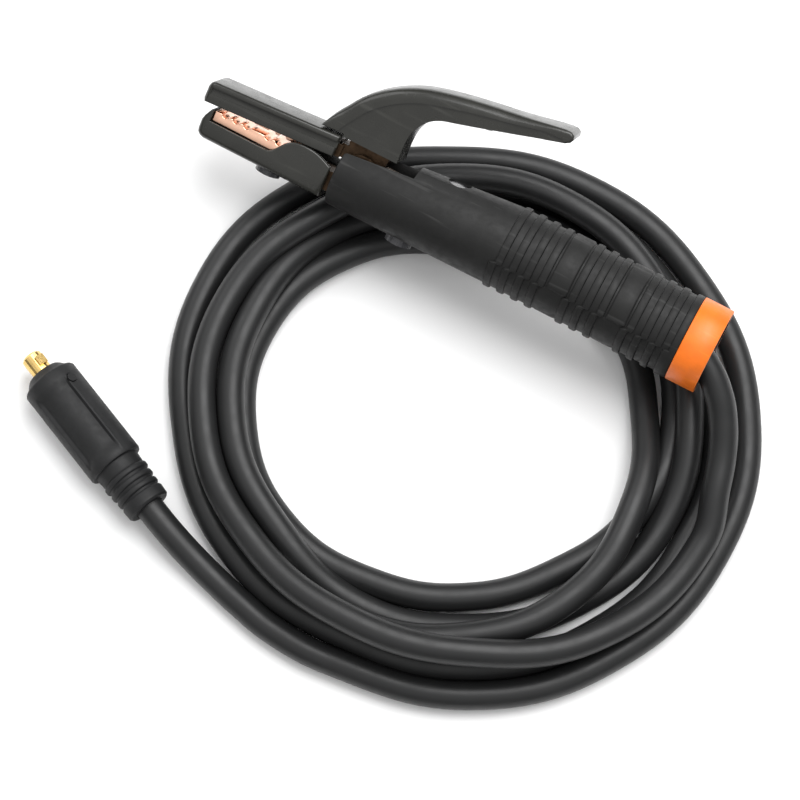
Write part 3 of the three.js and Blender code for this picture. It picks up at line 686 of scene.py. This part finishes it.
def inward_normals(outline):
    """Unit normals into a clockwise [x, z] outline, lengthened at corners so that offsets stay even."""
    normals = []
    for i, spot in enumerate(outline):
        before = (spot - outline[i - 1]).normalized()
        after = (outline[(i + 1) % len(outline)] - spot).normalized()
        sides = [Vector((part.y, -part.x)) for part in (before, after)]
        middle = (sides[0] + sides[1]).normalized()
        normals.append(middle / max(0.5, middle.dot(sides[0])))
    return normals


def rounded_plate(outline, width, radii, segments=6):
    """A clockwise side outline as thick as width, its side edges rounded by a radius for each point."""
    outline = [Vector(spot) for spot in outline]
    normals = inward_normals(outline)
    bm = bmesh.new()
    loops = []
    for side in (-1, 1):
        turns = [math.pi / 2 * k / segments for k in range(segments + 1)]
        for turn in (reversed(turns) if side < 0 else turns):
            ring = []
            for spot, normal, radius in zip(outline, normals, radii):
                inner = spot + normal * radius * (1 - math.cos(turn))
                across = side * (width / 2 - radius + radius * math.sin(turn))
                ring.append(bm.verts.new((inner.x, across, inner.y)))
            loops.append([bm.edges.new(pair) for pair in zip(ring, ring[1:] + ring[:1])])
            if len(loops) in (1, 2 * segments + 2):
                bm.faces.new(ring)
    for first, second in zip(loops, loops[1:]):
        bmesh.ops.bridge_loops(bm, edges=first + second)
    bmesh.ops.remove_doubles(bm, verts=bm.verts, dist=0.0005)
    bmesh.ops.recalc_face_normals(bm, faces=bm.faces)
    return bm


def rim_width(x):
    for (x0, w0), (x1, w1) in zip(RIM_WIDTHS, RIM_WIDTHS[1:]):
        if x <= x1:
            return w0 + (w1 - w0) * (x - x0) / (x1 - x0)
    return RIM_WIDTHS[-1][1]


def crown_share(spot, foot):
    """How much of the full crown a point of the top has: less at the thin tip, and at the arch's foot."""
    at_tip = 0.42 + max(0, 66 - spot.x) * 0.03
    at_foot = 0.1 + (spot.y - foot) * 0.1
    return min(1, at_tip, at_foot)


def build_lever(sizes):
    width, crown, step = in_mm(sizes.width), in_mm(sizes.crown), in_mm(sizes.rim_step)
    top, under = smooth_run(LEVER_TOP), smooth_run(LEVER_UNDER)
    outline = [*top, *LEVER_TIP, *under, *LEVER_HEEL]
    radii = [crown * crown_share(spot, top[0].y) for spot in top]
    radii += [1.3] * len(LEVER_TIP) + [0.8] * len(under) + [0.4] * len(LEVER_HEEL)
    made = as_object("lever_grip", rounded_plate(outline, width, radii, 7), HOLDER)
    normals = inward_normals(top + [Vector(LEVER_TIP[0])])
    rim = [
        spot + normal * rim_width(spot.x)
        for spot, normal in list(zip(top, normals))[1:] if spot.x < RIM_END
    ]
    cheek = [Vector((-30, 2)), *rim, Vector((70, 52.4)), Vector((80, 44)), Vector((40, 20)), Vector((30, 2))]
    sinks = []
    for side in (-1, 1):
        sink = side_plate(cheek, SINK_PLATE)
        out = width / 2 + SINK_PLATE / 2 - step
        bmesh.ops.translate(sink, verts=sink.verts, vec=(0, side * out, 0))
        sinks.append(sink)
    bar = [Vector(spot) for spot in LEVER_BAR]
    grown = [spot - normal * GAP for spot, normal in zip(bar, inward_normals(bar))]
    bar_room = side_plate(grown, LEVER_BAR_WIDTH + 2 * GAP)
    screw_room = [
        bar_shape(SMALL_HEAD_ROOM, (LEVER_SCREW, 0, 30), (LEVER_SCREW, 0, LEVER_HEAD_TOP + GAP)),
        bar_shape(SHANK_ROOM, (LEVER_SCREW, 0, 30), (LEVER_SCREW, 0, LEVER_SCREW_TIP + GAP)),
    ]
    carve(made, [*sinks, bar_room, *screw_room], HOLDER)
    soften(made, 0, angle=28)
    hand_over(made, "Jaw plastic", "plastic", "lever", "lever_cover")


UPPER_TIP = -73
UPPER_REAR = -13
CONTACT_FRONT = -66
CONTACT_REAR = -26
SEAT = -46
NOTCH_SPOTS = (-15, -10, -5, 5, 10)  # from the seat
NOTCH_DEPTH = 1.3
JAW_SCREW = -37
JAW_SCREW_TIP = -5.6
UPPER_SCREW = -31
UPPER_SCREW_TIP = 6
UPPER_HEAD_TOP = 1.3


def upper_line(x, height):
    """A point as far over the upper jaw's sloping underside as height."""
    return Vector((x, -1 + (x - UPPER_TIP) * 0.06 + height))


def build_upper_jaw(sizes):
    width, tall = in_mm(sizes.width), 9.2
    outline = [
        upper_line(UPPER_TIP, 1.2), upper_line(UPPER_TIP, tall - 2.6),
        upper_line(UPPER_TIP + 0.5, tall - 1.2), upper_line(UPPER_TIP + 1.4, tall - 0.3),
        upper_line(UPPER_TIP + 2.8, tall),
        upper_line(UPPER_REAR, tall), upper_line(UPPER_REAR, 0), upper_line(UPPER_TIP + 1.2, 0),
    ]
    radii = [3, 3, 2.8, 2.4, 1.8, 1.6, 0.6, 0.6]
    made = as_object("upper_jaw", rounded_plate(outline, width, radii), HOLDER)
    grooves = []
    for side in (-1, 1):
        groove = side_plate(
            [upper_line(UPPER_TIP + 2.4, 4), upper_line(UPPER_TIP + 2.4, 6.7), upper_line(5, 6.7),
             upper_line(5, 4)], SINK_PLATE)
        bmesh.ops.translate(groove, verts=groove.verts, vec=(0, side * (width / 2 + 0.9), 0))
        grooves.append(groove)
    mouth = side_plate(
        [upper_line(CONTACT_FRONT - 0.3, -3), upper_line(CONTACT_FRONT - 0.3, 5.9), upper_line(5, 5.9),
         upper_line(5, -3)], 12.6)
    carve(made, [*grooves, mouth], HOLDER)
    soften(made, in_mm(sizes.edge) * 0.5, segments=2, angle=60)
    made.data.set_sharp_from_angle(angle=math.radians(30))
    hand_over(made, "Jaw plastic", "plastic", "lever", "upper_jaw_insulator")


LOWER_NOSE = (
    (-70, -12.4), (-70, -8.2), (-69.2, -6), (-67.4, -2.7), (-66.3, -2.7), (-66.3, -7.5), (-41, -7.5),
)
LOWER_HUMP = (
    (-38.9, -7.4), (-37, -6.2), (-35.2, -4), (-33.2, -1.5), (-31, 0.2), (-28.2, 1.2), (-25, 1.5),
    (-21.5, 1.35), (-18, 0.7), (-14.5, -0.6), (-11.6, -1.9),
)
LOWER_FLOOR = ((-11.6, -15.6), (-66.4, -15.6), (-68.2, -15.1), (-69.5, -13.9))


def build_lower_jaw(sizes):
    hump = smooth_run(LOWER_HUMP)
    outline = [*LOWER_NOSE, *hump, *LOWER_FLOOR]
    radii = [2.6, 2, 1.2, 0.5, 0.3, 0.3, 0.5, *[0.9] * len(hump), *[2.4] * len(LOWER_FLOOR)]
    made = as_object("lower_jaw", rounded_plate(outline, in_mm(sizes.width), radii), HOLDER)
    carve(made, [
        box_shape((CONTACT_FRONT + 1.4, 5), (-6.3, 6.3), (-12.8, 10)),
        box_shape((CONTACT_FRONT - 0.3, 5), (-8.6, 8.6), (-7.5, 10)),
        bar_shape(SHANK_ROOM, (JAW_SCREW, 0, -10), (JAW_SCREW, 0, -20)),
    ], HOLDER)
    soften(made, in_mm(sizes.edge) * 0.4, segments=2, angle=60)
    made.data.set_sharp_from_angle(angle=math.radians(30))
    hand_over(made, "Jaw plastic", "plastic", "handle", "lower_jaw_insulator")


def contact_outline(far, bite, radius):
    """A contact's side outline, with round notches along its biting face.

    far is the height of its other face, at its front end and its rear end.
    """
    half = math.acos(1 - NOTCH_DEPTH / radius)
    inward = math.copysign(1, far[0] - bite)
    outline = [(CONTACT_FRONT, far[0]), (CONTACT_FRONT, bite)]
    steps = 8
    for spot in NOTCH_SPOTS:
        for i in range(steps + 1):
            angle = -half + 2 * half * i / steps
            depth = radius * (math.cos(angle) - math.cos(half))
            outline.append((SEAT + spot + radius * math.sin(angle), bite + inward * depth))
    return [*outline, (CONTACT_REAR, bite), (CONTACT_REAR, far[1])]


def build_contacts(sizes):
    radius = in_mm(sizes.notch_radius)
    made = as_object("lower_bite", side_plate(contact_outline((-7.2, -7.2), -2.7, radius), 16.6), HOLDER)
    carve(made, [bar_shape(SHANK_ROOM, (JAW_SCREW, 0, JAW_SCREW_TIP + GAP), (JAW_SCREW, 0, -20))], HOLDER)
    soften(made, 0.35, segments=3, angle=40)
    hand_over(made, "Copper", "copper", "handle", "lower_contact")
    sink = 1.9
    far = [upper_line(x, sink).y for x in (CONTACT_FRONT, CONTACT_REAR)]
    made = as_object("upper_bite", side_plate(contact_outline(far, -0.6, radius), 12), HOLDER)
    carve(made, [
        bar_shape(SMALL_HEAD_ROOM, (UPPER_SCREW, 0, -6), (UPPER_SCREW, 0, UPPER_HEAD_TOP + GAP)),
        bar_shape(SHANK_ROOM, (UPPER_SCREW, 0, -6), (UPPER_SCREW, 0, UPPER_SCREW_TIP + GAP)),
    ], HOLDER)
    soften(made, 0.25, segments=2, angle=40)
    hand_over(made, "Copper", "copper", "lever", "upper_contact")


# ---------- plug ----------

PANEL_FRONT = 20
PANEL_REAR = 56
PANEL_FROM = -56  # degrees from straight up towards the key's side
PANEL_TO = 28


def build_plug(sizes):
    radius, depth = in_mm(sizes.radius), in_mm(sizes.panel_depth)
    bore = in_mm(sizes.pin_radius) + 0.3
    profile = [(9.7, bore), (9.7, 7.4), (9.9, 7.7), (10.7, 8.5), (12.9, 10.3), (13.5, 11.7), (14.3, radius),
               (18.5, radius)]
    panel_steps = 18
    panel_row = len(profile)
    for i in range(panel_steps + 1):
        profile.append((PANEL_FRONT - 0.8 + (PANEL_REAR - PANEL_FRONT + 1.6) * i / panel_steps, radius))
    profile += [(59.4, radius), (60.2, radius - 0.4), (60.5, radius - 1.1), (60.5, 10.2), (65, 9.9)]
    for ring in range(3):
        x, top = 65.8 + ring * 3.9, 10.5 - ring * 0.33
        profile += [(x, top - 1), (x + 0.3, top - 0.25), (x + 0.7, top)]
        profile += [(x + 2.1, top), (x + 2.5, top - 0.25), (x + 2.8, top - 1)]
    profile += [(77.3, 8.9), (77.6, 9.5), (78.2, 9.8), (82.2, 9.6), (83, 8.9), (83, 6.3), (46.3, 6.3)]
    profile += [(46.3, 9.3), (13.9, 9.3), (13.9, bore)]
    bm = profile_spun(profile, True, 144)
    for vert in bm.verts:
        x, y, z = vert.co
        reach = math.hypot(y, z)
        if not (PANEL_FRONT - 1 < x < PANEL_REAR + 1 and reach > radius - 0.2):
            continue
        angle = math.degrees(math.atan2(y, z))
        if angle > 90 or angle <= -90:
            angle += -180 if angle > 0 else 180
        inside = min(smooth_step(PANEL_FROM - 2, PANEL_FROM + 6, angle),
                     1 - smooth_step(PANEL_TO - 2.6, PANEL_TO, angle),
                     smooth_step(PANEL_FRONT - 1, PANEL_FRONT + 2, x),
                     1 - smooth_step(PANEL_REAR - 2.1, PANEL_REAR + 0.2, x))
        line = 0.22 * (1 - smooth_step(0, 3, abs(angle - PANEL_TO - 1.5)))
        share = 1 - (depth * inside - line) / reach
        vert.co.y, vert.co.z = y * share, z * share
    made = as_object("plug_body", bm, PLUG)
    key_angle = math.radians(52)
    key_side = Vector((0, math.cos(key_angle), math.sin(key_angle)))
    seat = Vector((20.8, 0, 0))
    carve(made, [bar_shape(2.3, seat + key_side * 6, seat + key_side * 16)], PLUG)
    soften(made, 0, angle=38)
    hand_over(made, "Plug rubber", "plug_rubber", "handle", "plug_sleeve")


# ---------- operators ----------


class HOLDER_OT_stage(bpy.types.Operator):
    """Pale floor, soft light and the camera"""

    bl_idname = "holder.stage"
    bl_label = "Stage"

    def execute(self, context):
        scene = context.scene
        scene.view_settings.view_transform = "Standard"
        target = Vector((0.1004, -0.0665, FLOOR))
        eye = Vector((0.2318, -0.3117, 1.0733))
        right = Vector((0.8815, 0.4722, 0))
        back = (eye - target).normalized()
        turn = Matrix((right, back.cross(right), back)).transposed().to_4x4()
        lens = bpy.data.cameras.new("Camera")
        lens.lens = 122
        lens.sensor_width = 36
        camera = bpy.data.objects.new("Camera", lens)
        camera.matrix_world = Matrix.Translation(eye) @ turn
        scene.collection.objects.link(camera)
        scene.camera = camera

        sheet = bmesh.new()
        bmesh.ops.create_grid(sheet, x_segments=8, y_segments=8, size=4)
        bmesh.ops.translate(sheet, verts=sheet.verts, vec=(0.1, 0, FLOOR))
        floor = as_object("floor", sheet, Matrix.Identity(4))
        paint = bpy.data.materials.new("Floor")
        paint.use_nodes = True
        surface = paint.node_tree.nodes["Principled BSDF"]
        surface.inputs["Base Color"].default_value = (*scene.holder_finishes.floor, 1)
        surface.inputs["Roughness"].default_value = 0.9
        surface.inputs["Specular IOR Level"].default_value = 0.1
        floor.data.materials.append(paint)

        world = bpy.data.worlds.new("Studio")
        world.use_nodes = True
        tree = world.node_tree
        sky = tree.nodes["Background"]
        sky.inputs["Color"].default_value = (1, 1, 1, 1)
        way = node(tree, "ShaderNodeTexCoord", (-800, 0))
        split = node(tree, "ShaderNodeSeparateXYZ", (-600, 0))
        fade = node(tree, "ShaderNodeMapRange", (-400, 0), interpolation_type="SMOOTHSTEP")
        fade.inputs["From Min"].default_value = 0.1
        fade.inputs["From Max"].default_value = 1.0
        fade.inputs["To Min"].default_value = 0.12
        fade.inputs["To Max"].default_value = 1.1
        tree.links.new(way.outputs["Generated"], split.inputs["Vector"])
        tree.links.new(split.outputs["Z"], fade.inputs["Value"])
        tree.links.new(fade.outputs["Result"], sky.inputs["Strength"])
        scene.world = world
        self.add_light("Top softbox", (0.25, 0.45, 1.1), 1.0, 17, scene)
        self.add_light("Side softbox", (-1.2, 0.5, 0.9), 0.9, 6, scene)
        return {"FINISHED"}

    def add_light(self, name, spot, size, power, scene):
        box = bpy.data.lights.new(name, "AREA")
        box.shape = "SQUARE"
        box.size = size
        box.energy = power
        light = bpy.data.objects.new(name, box)
        light.location = spot
        light.rotation_mode = "QUATERNION"
        aim = Vector(spot) - Vector((0.1, -0.06, FLOOR))
        light.rotation_quaternion = aim.to_track_quat("Z", "Y")
        scene.collection.objects.link(light)


class HOLDER_OT_finishes(bpy.types.Operator):
    """Materials of every piece, also on the nodes that stay as they are"""

    bl_idname = "holder.finishes"
    bl_label = "Finishes"

    def execute(self, context):
        make_finishes(context.scene.holder_finishes)
        for material, nodes in NODE_FINISHES.items():
            for name in nodes:
                mesh = frame["nodes"][name].data
                mesh.materials.clear()
                mesh.materials.append(bpy.data.materials[material])
        return {"FINISHED"}


class HOLDER_OT_sleeve(bpy.types.Operator):
    """The handle's ribbed rubber sleeve and its orange band"""

    bl_idname = "holder.sleeve"
    bl_label = "Sleeve"

    def execute(self, context):
        build_sleeve(context.scene.holder_sleeve)
        build_band()
        return {"FINISHED"}


class HOLDER_OT_lever(bpy.types.Operator):
    """The lever's cover"""

    bl_idname = "holder.lever"
    bl_label = "Lever"

    def execute(self, context):
        build_lever(context.scene.holder_lever)
        return {"FINISHED"}


class HOLDER_OT_jaws(bpy.types.Operator):
    """Both jaws' insulators and copper contacts"""

    bl_idname = "holder.jaws"
    bl_label = "Jaws"

    def execute(self, context):
        sizes = context.scene.holder_jaws
        build_upper_jaw(sizes)
        build_lower_jaw(sizes)
        build_contacts(sizes)
        return {"FINISHED"}


class HOLDER_OT_plug(bpy.types.Operator):
    """The cable plug's rubber body"""

    bl_idname = "holder.plug"
    bl_label = "Plug"

    def execute(self, context):
        build_plug(context.scene.holder_plug)
        return {"FINISHED"}


class HOLDER_OT_cable(bpy.types.Operator):
    """The coiled welding cable, from the sleeve to the plug"""

    bl_idname = "holder.cable"
    bl_label = "Cable"

    def execute(self, context):
        sizes = context.scene.holder_cable
        made = build_cable(sizes)
        pieces = [frame["nodes"][name] for name in PLUG_PIECES]
        pieces.append(bpy.data.objects["plug_body"])
        return {"FINISHED"}


OPERATORS = (HOLDER_OT_stage, HOLDER_OT_finishes, HOLDER_OT_sleeve, HOLDER_OT_lever, HOLDER_OT_jaws,
             HOLDER_OT_plug, HOLDER_OT_cable)


class HOLDER_PT_panel(bpy.types.Panel):
    """The holder's sizes, colours and steps"""

    bl_idname = "HOLDER_PT_panel"
    bl_label = "Electrode holder"
    bl_space_type = "VIEW_3D"
    bl_region_type = "UI"
    bl_category = "Holder"

    def draw(self, context):
        for name, kind in SETTINGS.items():
            settings = getattr(context.scene, name)
            box = self.layout.box()
            for key in kind.__annotations__:
                box.prop(settings, key)
        for step in OPERATORS:
            self.layout.operator(step.bl_idname)


def register():
    for name, kind in SETTINGS.items():
        bpy.utils.register_class(kind)
        setattr(bpy.types.Scene, name, bpy.props.PointerProperty(type=kind))
    for kind in (*OPERATORS, HOLDER_PT_panel):
        bpy.utils.register_class(kind)


def unregister():
    for kind in (HOLDER_PT_panel, *reversed(OPERATORS)):
        bpy.utils.unregister_class(kind)
    for name, kind in SETTINGS.items():
        delattr(bpy.types.Scene, name)
        bpy.utils.unregister_class(kind)


def main():
    register()
    bpy.ops.holder.stage()
    bpy.ops.holder.finishes()
    bpy.ops.holder.sleeve()
    bpy.ops.holder.lever()
    bpy.ops.holder.jaws()
    bpy.ops.holder.plug()
    bpy.ops.holder.cable()


if __name__ == "__main__":
    main()
